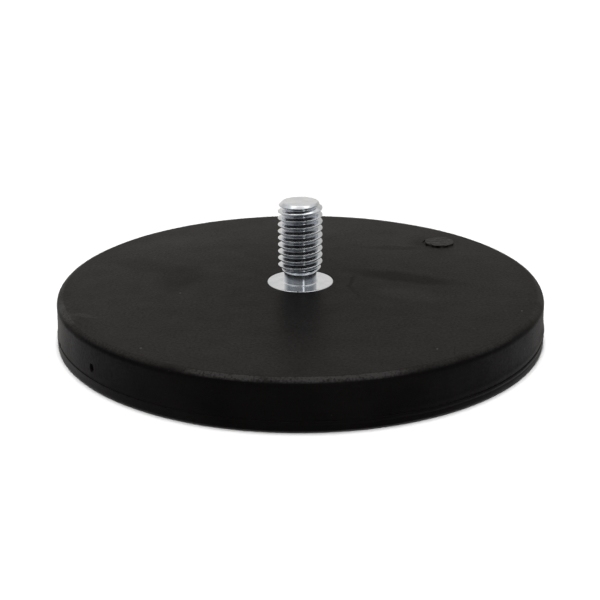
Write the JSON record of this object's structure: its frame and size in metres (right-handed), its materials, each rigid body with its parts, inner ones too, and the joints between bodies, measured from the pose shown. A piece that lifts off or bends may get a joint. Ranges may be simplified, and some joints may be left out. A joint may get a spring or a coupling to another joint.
{
  "type": "rubber coated magnet with threaded stud",
  "caption": "Flat round rubber-coated magnet for retrieving or holding steel, with a flanged male threaded stud standing from the middle of its back.",
  "frame": {"origin": "centre of the flat magnetic face, on the surface that the magnet rests on", "axes": "+Z out of the magnetic face's back, along the stud's axis towards its tip; +X to the right seen from the front, and the top's gate mark lies towards +X and +Y"},
  "size_m": [0.088, 0.088, 0.0235],
  "materials": {
    "cover_rubber": "matte",
    "base_rubber": "matte",
    "disc_steel": "satin",
    "stud_zinc_plate": "gloss",
    "magnet_nickel_plate": "gloss"
  },
  "bodies": {
    "root": {"rubber_cover": "cover_rubber", "rubber_base_tray": "base_rubber", "steel_disc": "disc_steel", "threaded_stud": "stud_zinc_plate", "magnet_inner_1": "magnet_nickel_plate", "magnet_inner_2": "magnet_nickel_plate", "magnet_inner_3": "magnet_nickel_plate", "magnet_inner_4": "magnet_nickel_plate", "magnet_inner_5": "magnet_nickel_plate", "magnet_inner_6": "magnet_nickel_plate", "magnet_outer_01": "magnet_nickel_plate", "magnet_outer_02": "magnet_nickel_plate", "magnet_outer_03": "magnet_nickel_plate", "magnet_outer_04": "magnet_nickel_plate", "magnet_outer_05": "magnet_nickel_plate", "magnet_outer_06": "magnet_nickel_plate", "magnet_outer_07": "magnet_nickel_plate", "magnet_outer_08": "magnet_nickel_plate", "magnet_outer_09": "magnet_nickel_plate", "magnet_outer_10": "magnet_nickel_plate", "magnet_outer_11": "magnet_nickel_plate", "magnet_outer_12": "magnet_nickel_plate"}
  },
  "joints": []
}
